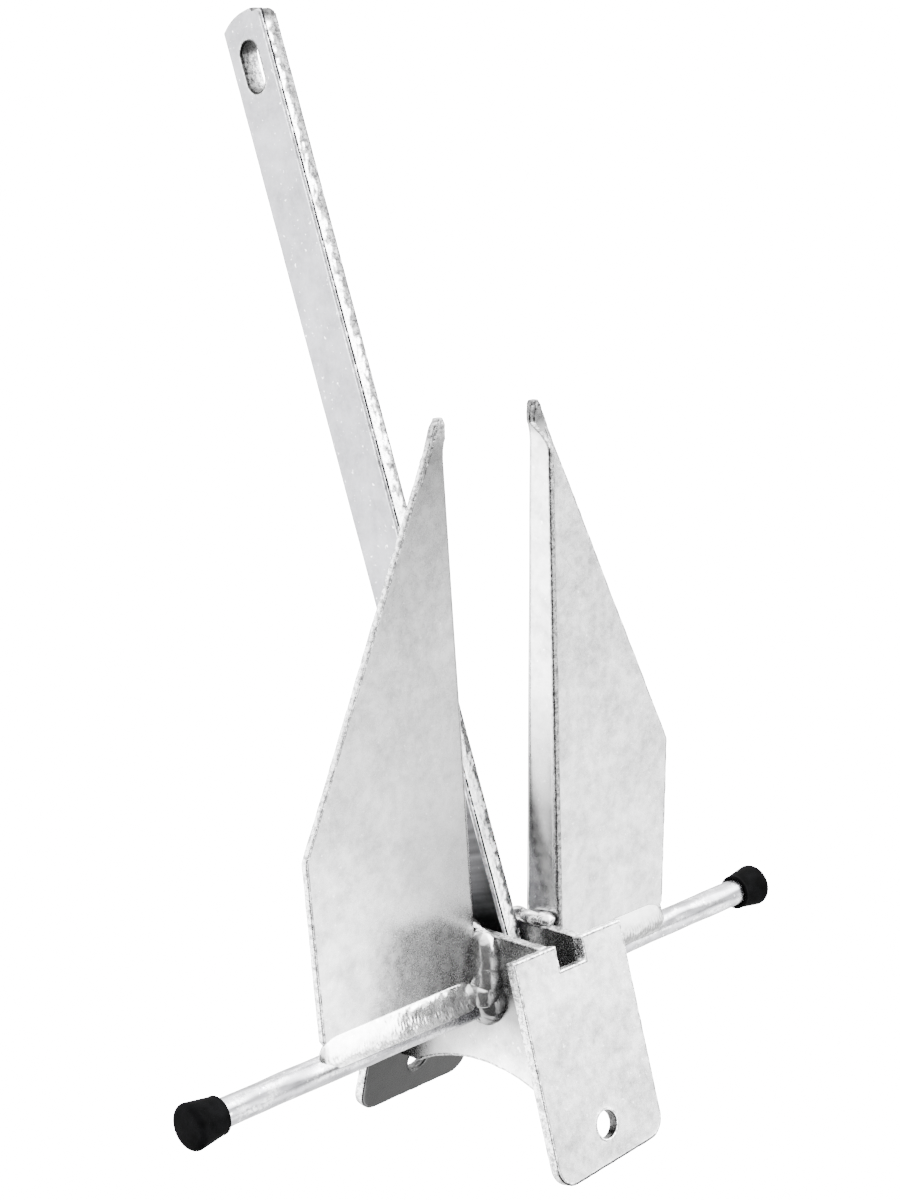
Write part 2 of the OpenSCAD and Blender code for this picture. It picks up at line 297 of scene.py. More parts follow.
# ---------------------------------------------------------------- the pieces
def crown_outline(cut):
    """A crown plate's outline, shorter at its right side by cut."""
    w, corner = PLATE_W / 2, PLATE_CORNER_R
    notch = NOTCH_W / 2
    lean = 270 + math.degrees(math.atan(cut / (2 * (w - corner))))
    return ([(notch, 0), (notch, -NOTCH_D), (-notch, -NOTCH_D), (-notch, 0), (-w, 0)]
            + arc(corner - w, corner - PLATE_LEN, corner, 180, lean, 9)
            + arc(w - corner, corner - PLATE_LEN + cut, corner, lean, 360, 9)
            + [(w, 0)])


def on_slope(points, which):
    """A crown plate's points from its own outline and height to the anchor's frame."""
    across, down, out = points.T
    out = out + PLATE_T / 2
    y = -PLATE_TOP_Y + down * math.sin(TILT) + (PLATE_T - out) * math.cos(TILT)
    z = PLATE_TOP_Z + down * math.cos(TILT) - (PLATE_T - out) * math.sin(TILT)
    placed = np.stack((across, y, z), axis=1)
    return placed * np.array((1, -1 if which == "back" else 1, 1))


def make_crown_plate(which, material, seed):
    hole = arc(0, -TRIP_AT, TRIP_R, 360, 0, 49)[:-1]
    cut = FRONT_CUT if which == "front" else 0.0
    profile = plate_profile(PLATE_T, EDGE_R, 4)
    points, faces, marks = slab([crown_outline(cut), hole], [profile] * 2, PLATE_STEP)
    placed = on_slope(points, which)
    across, down, out = points.T
    face = PLATE_T / 2
    # Where the lower edge is, with its round corners
    corner = np.clip((np.abs(across) - PLATE_W / 2 + PLATE_CORNER_R) / PLATE_CORNER_R, 0, 1)
    bottom = PLATE_CORNER_R * (1 - np.sqrt(1 - corner ** 2)) - PLATE_LEN
    bottom = bottom + cut * np.clip(across / (PLATE_W - 2 * PLATE_CORNER_R) + 0.5, 0, 1)
    # Painted shade on the inner face, a painted dark line of shade under the lower edge, and painted shade
    # on the walls in the hole
    low_edge = (down < bottom + 1.3) & (out > face - 0.9)
    in_hole = (np.hypot(across, down + TRIP_AT) < TRIP_R + 0.7) & (np.abs(out) < face - 0.2)
    shade_and_tone = np.where(out < 0.3 - face, PLATE_INSIDE_SHADE[which], 1.0)
    shade_and_tone = shade_and_tone * np.where(low_edge, LOW_EDGE_SHADE, 1.0)
    marks["shade_and_tone"] = np.where(in_hole, HOLE_SHADE, shade_and_tone)
    make_piece(f"crown_plate_{which}_steel", placed, faces, material, "crown",
               f"crown_plate_{which}", marks, worn(placed, marks, seed))


def cheek_outline():
    """Straight top and sloping ends against the crown plates, and a lower edge hollowed by an arc."""
    low_y = INNER_TOP_Y + (INNER_TOP_Z + CHEEK_LOW) * math.tan(TILT)
    reach = math.degrees(math.acos((ARC_R + ARC_DROP - CHEEK_LOW) / ARC_R))
    return ([(INNER_TOP_Y, INNER_TOP_Z), (-INNER_TOP_Y, INNER_TOP_Z), (-low_y, -CHEEK_LOW)]
            + arc(0, -ARC_DROP - ARC_R, ARC_R, 90 + reach, 90 - reach, 41)
            + [(low_y, -CHEEK_LOW)])


def make_cheek(side, material, seed):
    hole = arc(0, 0, STOCK_R - 0.3, 360, 0, 49)[:-1]
    profile = plate_profile(CHEEK_T, EDGE_R, 4)
    points, faces, marks = slab([cheek_outline(), hole], [profile] * 2, PLATE_STEP)
    along_x = points[:, 2] + (CHEEK_IN + CHEEK_OUT) / 2
    placed = np.stack((along_x, points[:, 0], points[:, 1]), axis=1)
    if side == "left":
        placed = half_turn(placed)
    # Painted light and shade on the outer face, by height and depth, and painted shade on the inner face
    outside = follow(placed[:, 2] + 4 * bump(placed, 30, 8), CHEEK_LIGHT_BY_HEIGHT)
    outside = outside * follow(placed[:, 1], CHEEK_LIGHT_BY_DEPTH)
    marks["shade_and_tone"] = np.where(points[:, 2] < 0.3 - CHEEK_T / 2, CHEEK_INSIDE_SHADE, outside)
    make_piece(f"cheek_{side}_steel", placed, faces, material, "crown",
               f"cheek_{side}", marks, worn(placed, marks, seed))


def shank_outline():
    """The bar's wide side: across, towards +Y, and along. The front corner of its head is worn off."""
    half = SHANK_W / 2
    head_y = SHANK_LEN - HEAD_R
    back = math.degrees(math.acos((half + HEAD_SHIFT) / HEAD_R))
    front = math.degrees(math.acos((HEAD_SHIFT + HEAD_WORN - half) / HEAD_R))
    head = arc(-HEAD_SHIFT, head_y, HEAD_R, back, front, 15)
    top = head[-1][1]
    corner = [(-half + 0.9, top - 1.2), (-half, top - HEAD_WORN)]
    return [(half, 0)] + head + corner + [(-half, 0)] + arc(0, 0, half, 180, 360, 25)[1:-1]


def shank_profile():
    """Rings round the bar's edge: a soft shoulder, a fine fold in the zinc with a painted dark line of
    shade in it, and the rough narrow side.
    """
    half = SHANK_T / 2
    shoulder = [(2.8, half, 0, 0), (2.5, half, 0.05, 0), (2.1, half - 0.05, 0.16, 0),
                (1.5, half - 0.3, 0.2, 0), (0.85, half - 0.8, 0.3, 0), (0.5, half - 1.2, 0.4, 0.3)]
    # The fold's line marks paint a dark line of shade along it
    fold = [(0.8, half - 1.45, 0.5, 4), (0.75, half - 1.95, 0.6, 4), (0.15, half - 2.15, 1, 0.5)]
    side = [(0, h, 1, 0) for h in np.linspace(half - 2.4, 2.4 - half, 13)]
    upper = shoulder + fold
    return upper + side + turned_over(upper)


def shank_tones(points, marks, stroke):
    """How light the bar's zinc is painted, in painted highlights and painted shade, with stroke from -1 to
    1 across the strokes of a grinder.
    """
    across, along, height = points.T
    half, thick = SHANK_W / 2, SHANK_T / 2
    edge = marks["edge"]
    in_slot = (np.abs(across) < half - 4) & (np.abs(along - SLOT_AT) < SLOT_LEN / 2 + 2)
    narrow = (edge > SIDE_MARK) & ~in_slot
    # A painted highlight on the narrow sides near the -X face, giving way to darker strokes towards the far
    # one
    depth = np.clip((thick + height) / SHANK_T, 0, 1)
    blotch = 0.22 * bump(points, 9, 7) + 0.4 * stroke
    far = np.clip((depth - follow(along, HIGHLIGHT_ENDS) + blotch) / 0.3, 0, 1)
    shade_and_tone = np.where(narrow, (3.2 * (1 - far) ** 3 + 0.16) * (1 + (0.2 + 0.9 * far) * stroke), 1.0)
    # Painted shade on the near side low down, between the flukes, in blotches
    shade = follow(along + 25 * bump(points, 14, 9), SHANK_SHADE_BY_LENGTH)
    shade = shade ** (1 + 0.5 * bump(points, 3, 10))
    shade_and_tone = np.where((height < 0) & (edge < FACE_MARK), shade, shade_and_tone)
    # A painted highlight along the near shoulder, and painted shade along the rest of it
    shoulder = (edge > FACE_MARK) & ~narrow & ~in_slot & (height < 0) & (along < SHANK_LEN - 8)
    shade_and_tone = np.where(shoulder, np.where(across < 10 - half, 2.2 + 1.5 * stroke, 0.6), shade_and_tone)
    # Painted shade on the slot's walls, darker near the -X face and round its ends
    walls = 0.1 + 1.2 * np.clip(depth - 0.25, 0, 1) ** 1.5
    round_ends = np.clip((np.abs(along - SLOT_AT) - (SLOT_LEN - SLOT_W) / 2) / 4, 0, 1)
    shade_and_tone = np.where(in_slot & (edge > SIDE_MARK), walls * (1 - 0.85 * round_ends), shade_and_tone)
    # Nearly black on the narrow side at the ground front corner of the head
    dark_head_corner = narrow & (along > SHANK_LEN - 9) & (across < 12 - half)
    shade_and_tone = np.where(dark_head_corner, 0.035 + 0.03 * stroke, shade_and_tone)
    return shade_and_tone, in_slot


def make_shank(material):
    reach = (SLOT_LEN - SLOT_W) / 2
    slot = (arc(0, SLOT_AT - reach, SLOT_W / 2, 360, 180, 21)
            + arc(0, SLOT_AT + reach, SLOT_W / 2, 180, 0, 21))
    eye = arc(0, 0, EYE_R, 360, 0, 49)[:-1]
    hole_profile = plate_profile(SHANK_T, 1.2, 10)
    profiles = [shank_profile(), hole_profile, hole_profile]
    points, faces, marks = slab([shank_outline(), slot, eye], profiles, SHANK_STEP)
    stroke = bump(points @ STROKES_LIE, 2.4, 6)
    marks["shade_and_tone"], in_slot = shank_tones(points, marks, stroke)
    marks["line"] = np.where(in_slot, marks["line"] * 0.4, marks["line"])
    # The front corner of the head is ground off, and its far end is knocked off
    across, along, height = points.T
    knocked = np.clip(height - SHANK_T / 2 + 4.0, 0, 4)
    front = across < 8 - SHANK_W / 2
    along = np.minimum(along, np.where(front, SHANK_LEN - 3.5 - 1.2 * knocked, SHANK_LEN))
    lean = radians_of(SHANK_LEAN)
    y = across * math.cos(lean) + along * math.sin(lean)
    z = along * math.cos(lean) - across * math.sin(lean)
    placed = np.stack((height + SHANK_SHIFT, y, z), axis=1)
    rough = bump(placed, 9, 3) * 0.2 + stroke * 0.2 + bump(placed, 1.4, 5) * 0.06
    rough = marks["edge"] * rough - 0.15
    make_piece("shank_steel", placed, faces, material, "shank", "shank", marks, rough)


def fluke_outline_at(z):
    """How far the fluke's inner and outer sides are from the middle at height z, and its flange's depth."""
    outer, inner = outer_at(z), fold_at(z)
    if z > TIP_Z - TIP_SLANT:
        share = (z - TIP_Z + TIP_SLANT) / TIP_SLANT
        inner += (TIP_X - TIP_TOP - inner) * share ** 1.6
    swell = max(0.0, 1 - ((z - TIP_Z + 6) / 11) ** 2)
    inner -= TIP_SWELL * swell
    outer += TIP_SWELL * 0.5 * swell
    if z < FLANGE_TOP_Z:
        return inner, outer, FLANGE_LOW + (FLANGE_HIGH - FLANGE_LOW) * z / FLANGE_TOP_Z
    sweep = FLANGE_HIGH - FLUKE_T
    return inner, outer, FLUKE_T + sweep * (1 - min(1.0, (z - FLANGE_TOP_Z) / sweep) ** 1.35)


def fluke_section(z):
    """The fluke's closed section at height z, with its flange towards -Y, and its edge and line marks."""
    t, half = FLUKE_T, FLUKE_T / 2
    inner, outer, depth = fluke_outline_at(z)
    free = half - depth
    spare = -half - free
    bend = min(FOLD_R, depth - 1.1, (outer - inner) * 0.3)
    e1, e2, fillet = 0.9, min(0.9, spare / 2), min(FOLD_R - t, spare / 2)
    rim = min(EDGE_R, (outer - inner) / 4)
    lip = inner + min(t, (outer - inner) / 2)
    # Distances in from the outer edge, close together by the edge, and the even steps after them
    near, even = [0, 0.45, 1.1, 2.4], 34
    span = outer - rim - max(inner + bend, lip + fillet)
    share = [min(d / span, 0.1 * k) for k, d in enumerate(near)] + list(np.linspace(0.14, 1, even))
    face_edge, face_line = [1, 0.6, 0.1, 0] + [0] * even, [0.2, 1, 0, 0] + [0] * even
    loop, edge, line = [], [], []

    def put(points, edge_marks, line_marks=None):
        count = len(points)
        loop.extend(points)
        edge.extend(edge_marks if np.ndim(edge_marks) else [edge_marks] * count)
        line.extend(line_marks or [0] * count)

    # Outer edge, back face and fold, then the flange's free edge, its front, and the front face
    back_end, front_end = inner + bend, lip + fillet
    put(arc(outer - rim, rim - half, rim, 270, 360, 4)[1:], 1)
    put([(outer, 0)], 1)
    put(arc(outer - rim, half - rim, rim, 0, 90, 4)[:-1], 1)
    put([(outer - rim + (back_end - outer + rim) * s, half) for s in share], face_edge, face_line)
    put(arc(back_end, half - bend, bend, 90, 180, 9)[1:], 0)
    down = (half - bend) - (free + e1)
    put([(inner, half - bend - down * s) for s in (0.1, 0.25, 0.4, 0.55, 0.7, 0.85, 0.94, 1)],
        [0, 0, 0, 0, 0, 0, 0.3, 1], [0, 0, 0, 0, 0, 0, 0.1, 0.2])
    put(arc(inner + e1, free + e1, e1, 180, 270, 4)[1:], 1)
    put(arc(lip - e2, free + e2, e2, 270, 360, 4), 1, [0, 0.1, 0.5, 0.9])
    up = (-half - fillet) - (free + e2)
    put([(lip, free + e2 + up * s) for s in (0.06, 0.15, 0.3, 0.45, 0.6, 0.75, 0.9)],
        [0.3, 0, 0, 0, 0, 0, 0])
    put(arc(front_end, -half - fillet, fillet, 180, 90, 5), 0)
    put([(outer - rim + (front_end - outer + rim) * s, -half) for s in share[-2::-1]],
        face_edge[-2::-1], face_line[-2::-1])
    return loop, edge, line


def soft_patch(across, up, size):
    """1 at the middle of a soft round patch of a face, falling to 0 about size mm from it."""
    return np.exp(-(across ** 2 + (0.9 * up) ** 2) / size ** 2)


def fluke_tones(points, edge, side):
    """How light and shiny the zinc is: a shinier flange with painted reflections and painted shade up it, a
    grey forged tip, and painted light and shade on the left face.
    """
    x, y, z = points.T
    flange = (np.abs(x) < fold_at(z) + 0.5) & (z < TIP_Z - 10) & (edge < 0.5)
    # Painted reflections and painted shade up the flange
    shade_and_tone = np.where(flange, follow(z, FLANGE_LIGHT_BY_HEIGHT), 1.0)
    free_edge = (np.abs(y) > FLUKE_T) & (edge > 0.5)
    shade_and_tone = np.where(free_edge, FREE_EDGE_TONE, shade_and_tone)
    if side == "left":
        # Painted light and shade on the face towards -Y: darker up it and in the corner by the cheek,
        # lighter at the foot
        climb = np.clip((z - 130) / 180, 0, 1)
        corner = soft_patch(np.abs(x) - FOLD_X, z - 60, 80) * np.clip((z + 20) / 90, 0.62, 1)
        foot = soft_patch(np.abs(x) - 125, z - 40, 55)
        middle = np.exp(-((z - 150) / 60) ** 2)
        shade = (1 - 0.74 * climb ** 1.2) * (1 - 0.6 * corner) * (1 + 0.5 * foot) * (1 - 0.18 * middle)
        shade_and_tone = np.where(y < 0, shade_and_tone * shade, shade_and_tone)
    tip = np.clip((z - TIP_Z + 20) / 10, 0, 1)
    return shade_and_tone * (1 - tip) + TIP_TONE[side] * tip, flange * 0.5


def make_fluke(side, material, seed):
    cuts = (FLUKE_FOOT, BASE_Z - BASE_CUT, BASE_Z, WIDE_Z, FLANGE_TOP_Z,
            FLANGE_TOP_Z + FLANGE_HIGH - FLUKE_T, TIP_Z - TIP_SLANT, TIP_Z)
    steps = (2, 3, 44, 82, 14, 6, 9)
    heights = [cuts[0]]
    for low, high, n in zip(cuts, cuts[1:], steps):
        heights += list(np.linspace(low, high, n + 1)[1:])
    points, edge, line = [], [], []
    for z in heights:
        loop, loop_edge, loop_line = fluke_section(z)
        tip = float(np.clip((z - TIP_Z + 15) / 12, 0, 1))
        points += [(x, y, z) for x, y in loop]
        edge += [max(value, tip) for value in loop_edge]
        line += loop_line
    cols = len(loop)
    faces = grid_faces(len(heights), cols) + end_faces(len(points), cols)
    points = np.array(points)
    marks = {"edge": np.array(edge), "line": np.array(line)}
    if side == "left":
        points = half_turn(points)
    z = points[:, 2]
    forged = np.clip((z - TIP_Z + 14) / 10, 0, 1)
    rough = worn(points, marks, seed, 0.24) + forged * (bump(points, 3.5, seed + 2) * 0.5 + 0.15)
    rough += bump(points, 45, seed + 3) * 0.15
    rough = np.where(z > TIP_Z - 0.6, np.minimum(rough, 0), rough)
    marks["shade_and_tone"], marks["shine"] = fluke_tones(points, marks["edge"], side)
    make_piece(f"fluke_{side}_steel", points, faces, material, "crown",
               f"fluke_{side}", marks, rough)


def lathe(profile, around):
    """Points and faces of a solid turned about +X from (x, r) pairs that start and end on the axis."""
    rings = profile[1:-1]
    angles = np.linspace(0, 2 * math.pi, around + 1)[:-1]
    points = [(profile[0][0], 0, 0)]
    for x, r in rings:
        points += [(x, r * math.cos(a), r * math.sin(a)) for a in angles]
    points.append((profile[-1][0], 0, 0))
    faces = grid_faces(len(rings), around, 1)
    last = len(points) - 1
    for j in range(around):
        k = (j + 1) % around
        faces += [(0, 1 + k, 1 + j), (last, last - around + j, last - around + k)]
    return np.array(points), faces


def make_rod(material):
    half = STOCK_LEN / 2
    profile = [(-half, 0), (-half, STOCK_R - 1)]
    profile += [(x, STOCK_R) for x in np.linspace(1 - half, half - 1, 201)]
    profile += [(half, STOCK_R - 1), (half, 0)]
    points, faces = lathe(profile, 56)
    drawn = points * np.array((0.35, 1, 1))
    run = bump(points * np.array((0.12, 1, 1)), 5, 23)
    rough = bump(drawn, 6, 20) * 0.2 + run * 0.4 + bump(points, 2.5, 21) * 0.06 - 0.3
    # Painted light and shade round the rod, by height, in bands that wander with the runs
    lit = follow(points[:, 2] / STOCK_R + 0.25 * run, ROD_LIGHT_BY_HEIGHT)
    marks = {"edge": np.clip(bump(drawn, 5, 22) * 1.5, 0, 0.3),
             "shade_and_tone": lit * (1 + 0.4 * bump(drawn, 3, 24)),
             "shine": np.full(len(points), 0.6)}
    make_piece("stock_rod_steel", points, faces, material, "crown", "stock_rod", marks, rough)


def make_cap(side, material):
    """A cone that widens to a rounded outer end, with a thin rolled lip at its mouth."""
    end = STOCK_LEN / 2 + CAP_WALL
    mouth = end - CAP_LEN
    edge, lip_len, bore = 3.4, 1.6, STOCK_R + 0.05
    lip_r = CAP_MOUTH_R - 0.1
    cone = [(mouth + lip_len + (CAP_LEN - lip_len - edge) * s, lip_r + (CAP_END_R - lip_r) * s)
            for s in np.linspace(0, 1, 12)]
    round_end = [(end - edge + (edge - 0.4) * math.sin(a), CAP_END_R - edge * (1 - math.cos(a)))
                 for a in np.linspace(0, math.pi / 2, 9)[1:]]
    face = [(end - 0.3, CAP_END_R * 0.55), (end - 0.05, CAP_END_R * 0.3), (end, 0)]
    lip = [(mouth + 0.9, bore), (mouth + 0.25, bore + 0.3), (mouth, bore + 0.9),
           (mouth + 0.05, CAP_MOUTH_R - 0.5), (mouth + 0.4, CAP_MOUTH_R), (mouth + 0.9, CAP_MOUTH_R + 0.1)]
    inside = [(end - CAP_WALL, 0), (end - CAP_WALL, bore)]
    points, faces = lathe(inside + lip + cone + round_end + face, 72)
    if side == "left":
        points = half_turn(points)
    rough = bump(points, 9, 31) * 0.05 - 0.05
    make_piece(f"end_cap_{side}_rubber", points, faces, material, "crown",
               f"end_cap_{side}", None, rough)


# ---------------------------------------------------------------- welds
def weld(name, side, centre, surface, rows, cols, material, node, seed, mirror=False, shade_and_tone=1.0):
    """A weld that fills a corner, as sections along its buried centre line.

    centre(s) gives the centre line and its two section directions at s from 0 to 1. surface(s, a) gives
    a point of the section at a from 0 to 1, out from the centre along those directions, and its line mark.
    """
    points, line = [], []
    for s in np.linspace(0, 1, rows):
        at, u, v = centre(s)
        points.append(at)
        line.append(0)
        for a in np.linspace(0, 1, cols):
            along_u, along_v, mark = surface(s, a)
            points.append(at + along_u * u + along_v * v)
            line.append(mark)
    cols += 1
    faces = grid_faces(rows, cols) + end_faces(len(points), cols)
    points = np.array(points)
    if mirror:
        points = points * np.array((1, -1, 1))
    if side == "left":
        points = half_turn(points)
    rough = bump(points, 4, seed) * 0.14 + bump(points, 1.7, seed + 1) * 0.06
    marks = {"line": np.array(line), "shade_and_tone": np.full(len(points), shade_and_tone)}
    make_piece(name, points, faces, material, "crown", node, marks, rough)


def dome(s, length, end):
    """How full a bead is at s: 1 along it, falling to 0 over its rounded ends."""
    d = min(s, 1 - s) * length
    return math.sqrt(max(0.0, 1 - (1 - min(1.0, d / end)) ** 2)) if d < end else 1.0


def make_long_bead(side, on_flange_side, material, seed):
    """The long bead from a fluke's face to the stock: smooth above, with the steps of the weld below."""
    where = "front" if (side == "right") == on_flange_side else "back"
    x0 = fold_at(BEAD_TOP) + FLUKE_T if on_flange_side else CHEEK_OUT + 7
    x1 = BASE_X - 1 if on_flange_side else BEAD_END_X + 2
    length = x1 - x0
    top, low = np.array((-2.0, BEAD_TOP)), np.array((-7.9, 1.2))
    buried = np.array((-2.6, 4.0))
    # The bead stands out mostly away from the fluke, and a little down
    outward = np.array((low[1] - top[1], low[0] - top[0]))
    outward = outward / np.linalg.norm(outward)
    pitch, bulge_most, step_depth, end_len = 2.4, 1.5, 0.32, 15

    def centre(s):
        return np.array((x0 + length * s, *buried)), np.array((0, 1.0, 0)), np.array((0, 0, 1.0))

    def surface(s, a):
        x = x0 + length * s
        wander = noise.noise(Vector((x / 16, seed, 0)))
        wave = (x + 4.5 * (2 * a - 1.1) ** 2 + 1.8 * wander) / pitch % 1
        stepped = float(np.clip((a - 0.3) / 0.25, 0, 1)) * math.sin(math.pi * a) ** 0.5
        uneven = 0.4 + 1.4 * noise.noise(Vector((x / 5, a * 6, seed)))
        ripple = step_depth * (wave ** 1.5 - 0.4) * stepped * uneven
        bulge = (bulge_most + 0.5 * wander) * 4 * a * (1 - a) + ripple
        at = top + (low - top) * a + outward * bulge - buried
        at = at * (0.25 + 0.75 * dome(s, length, end_len))
        return at[0], at[1], 0.5 * stepped if wave > 0.78 else 0.0

    name = f"weld_fluke_{side}_{where}"
    # The bead gets its side's painted light and shade
    weld(name + "_bead", side, centre, surface, 300, 30, material, name, seed, not on_flange_side,
         BEAD_LIGHT_BY_SIDE[side])


def blobs_radius(blobs, at, direction):
    """How far out along direction the union of some egg-shaped puddles reaches from a point inside them."""
    best = 0.5
    for centre, radii in blobs:
        p = (at - centre) / radii
        d = direction / radii
        a, b, c = d @ d, p @ d, p @ p - 1
        inside = b * b - a * c
        if inside > 0:
            best = max(best, (-b + math.sqrt(inside)) / a)
    return best


def blob_weld(name, side, line_from, line_to, u, v, start, turn, blobs, rows, cols, pits, material, node,
              seed):
    """A weld of overlapping puddles along a straight buried line.

    Its sections go from start to start + turn, in degrees from u towards v. Each of the blobs is a middle
    and three radii, and pits is how deep the pits in them are.
    """
    line_from, line_to = np.array(line_from, float), np.array(line_to, float)
    u, v = np.array(u, float), np.array(v, float)
    blobs = [(np.array(middle, float), np.array(radii, float)) for middle, radii in blobs]

    def centre(s):
        return line_from + (line_to - line_from) * s, u, v

    def surface(s, a):
        at = line_from + (line_to - line_from) * s
        angle = radians_of(start + turn * a)
        direction = math.cos(angle) * u + math.sin(angle) * v
        r = blobs_radius(blobs, at, direction)
        pit = noise.noise((Vector(at) + Vector(direction) * r) / 2.2 + Vector((seed, 0, 0)))
        deep = max(0.0, pit - 0.42) * pits
        r -= deep * 3
        return r * math.cos(angle), r * math.sin(angle), min(1.0, deep * 6)

    weld(name, side, centre, surface, rows, cols, material, node, seed)


def make_root_weld(side, material, seed):
    """A long puddle with a smaller one run over its lower half, between a fold and its cheek."""
    blobs = [((CHEEK_OUT + 3.0, 4.4, 26), (8.4, 11.0, 18)), ((CHEEK_OUT + 3.9, 5.6, 17), (8.6, 10.8, 14)),
             ((CHEEK_OUT + 5.0, 5.0, 8), (10.0, 11.0, 10))]
    name = f"weld_root_{side}"
    low, high = (CHEEK_OUT + 1.5, 1.0, 2), (CHEEK_OUT + 1.5, 1.0, 44.5)
    blob_weld(name + "_puddles", side, low, high, u=(1, 0, 0), v=(0, 1, 0), start=-20, turn=130,
              blobs=blobs, rows=90, cols=40, pits=0.25, material=material, node=name, seed=seed)


def make_ring_weld(side, material, seed):
    """The ring of metal where the stock goes into a cheek, lumpy and pitted."""
    rows, cols, steps_round = 96, 16, 13
    size_all_round, size_at_root = 4.6, 5.4
    name = f"weld_stock_{side}"
    points, line = [], []
    for phi in np.linspace(0, 2 * math.pi, rows + 1)[:-1]:
        out = np.array((0, math.cos(phi), math.sin(phi)))
        lump = noise.noise(Vector((math.cos(phi) * 1.3, math.sin(phi) * 1.3, seed)))
        step = (phi * steps_round / (2 * math.pi)) % 1
        # Fuller where it meets the root weld
        from_root = (phi - 0.5 + math.pi) % (2 * math.pi) - math.pi
        size = size_all_round + 0.8 * lump + 0.2 * step + size_at_root * math.exp(-(from_root / 1.2) ** 2)
        core = np.array((CHEEK_OUT - 1.0, 0, 0)) + out * (STOCK_R - 1.5)
        points.append(core)
        line.append(0)
        for a in np.linspace(0, 1, cols):
            angle = radians_of(-12 + 118 * a)
            pit = max(0.0, noise.noise(Vector(out * 3.4) + Vector((a * 2, seed, 0))) - 0.45)
            r = (size + 1.5) * (1 + 0.1 * math.cos(angle) ** 2) - pit * 2.5
            points.append(core + r * (math.cos(angle) * np.array((1.0, 0, 0)) + math.sin(angle) * out))
            line.append(min(1.0, pit * 6))
    faces = grid_faces(rows, cols + 1, 0, True)
    points = np.array(points)
    if side == "left":
        points = half_turn(points)
    marks = {"line": np.array(line), "shade_and_tone": np.full(len(points), RING_TONE)}
    rough = bump(points, 5, seed) * 0.35 + bump(points, 1.5, seed + 1) * 0.07
    make_piece(name + "_ring", points, faces, material, "crown", name, marks, rough)


def make_flange_weld(side, material, seed):
    """The pitted bead between a flange and the top of its cheek."""
    foot = FLUKE_T / 2 - FLANGE_LOW + 2
    blobs = [((CHEEK_OUT - 1.2, foot + 10.5, INNER_TOP_Z + 0.3), (5.4, 12.5, 5.2)),
             ((CHEEK_OUT - 0.6, foot + 5.5, INNER_TOP_Z + 0.5), (5.6, 6.5, 5.9))]
    name = f"weld_flange_{side}"
    front, back = (CHEEK_OUT, foot, INNER_TOP_Z - 0.5), (CHEEK_OUT, -1, INNER_TOP_Z - 0.5)
    blob_weld(name + "_bead", side, front, back, u=(1, 0, 0), v=(0, 0, 1), start=60, turn=120,
              blobs=blobs, rows=60, cols=26, pits=0.15, material=material, node=name, seed=seed)


def make_seam_weld(which, sign, material, seed):
    """Bead in the corner between a cheek and a crown plate, a stack of small crescents."""
    side = "left" if sign < 0 else "right"
    name = f"weld_seam_{which}_{side}"
    low, high, count, sunk = -90.0, -3.0, 26, 0.8
    length = high - low

    def to_frame(down):
        depth = PLATE_T - sunk
        y = -PLATE_TOP_Y + down * math.sin(TILT) + depth * math.cos(TILT)
        z = PLATE_TOP_Z + down * math.cos(TILT) - depth * math.sin(TILT)
        return np.array((sign * (CHEEK_OUT - sunk), y, z))

    start, end = to_frame(low), to_frame(high)
    u = np.array((float(sign), 0, 0))
    v = np.array((0, math.cos(TILT), -math.sin(TILT)))

    def centre(t):
        return start + (end - start) * t, u, v

    def surface(t, a):
        at = t * length
        wave = (at + 2.2 * (2 * a - 1) ** 2) / (length / count) % 1
        wander = noise.noise(Vector((at / 9, seed, a)))
        r = (6.4 + 0.12 * wave + 0.6 * wander) * (0.4 + 0.6 * dome(t, length, 5))
        angle = radians_of(-8 + 106 * a)
        return r * math.cos(angle), r * math.sin(angle), 0.0

    # sign has put it on its own side already, so it isn't turned
    weld(name + "_bead", "right", centre, surface, 150, 14, material, name, seed, which == "back",
         SEAM_TONE)


# ---------------------------------------------------------------- materials
# Colours of bright flecks in the zinc, of chipped edges, of fine dark lines, and the brightest it gets
FLECK = (0.95, 0.95, 0.95, 1)
CHIP_DARK, CHIP_LIGHT = (0.14, 0.14, 0.145, 1), (0.93, 0.93, 0.93, 1)
LINE_DARK = (0.02, 0.02, 0.022, 1)
BRIGHTEST = (0.97, 0.97, 0.97)
RUBBER_DARK, RUBBER_LIGHT = (0.0006, 0.0006, 0.0006, 1), (0.002, 0.002, 0.0022, 1)
PAPER = (0.82, 0.82, 0.83, 1)


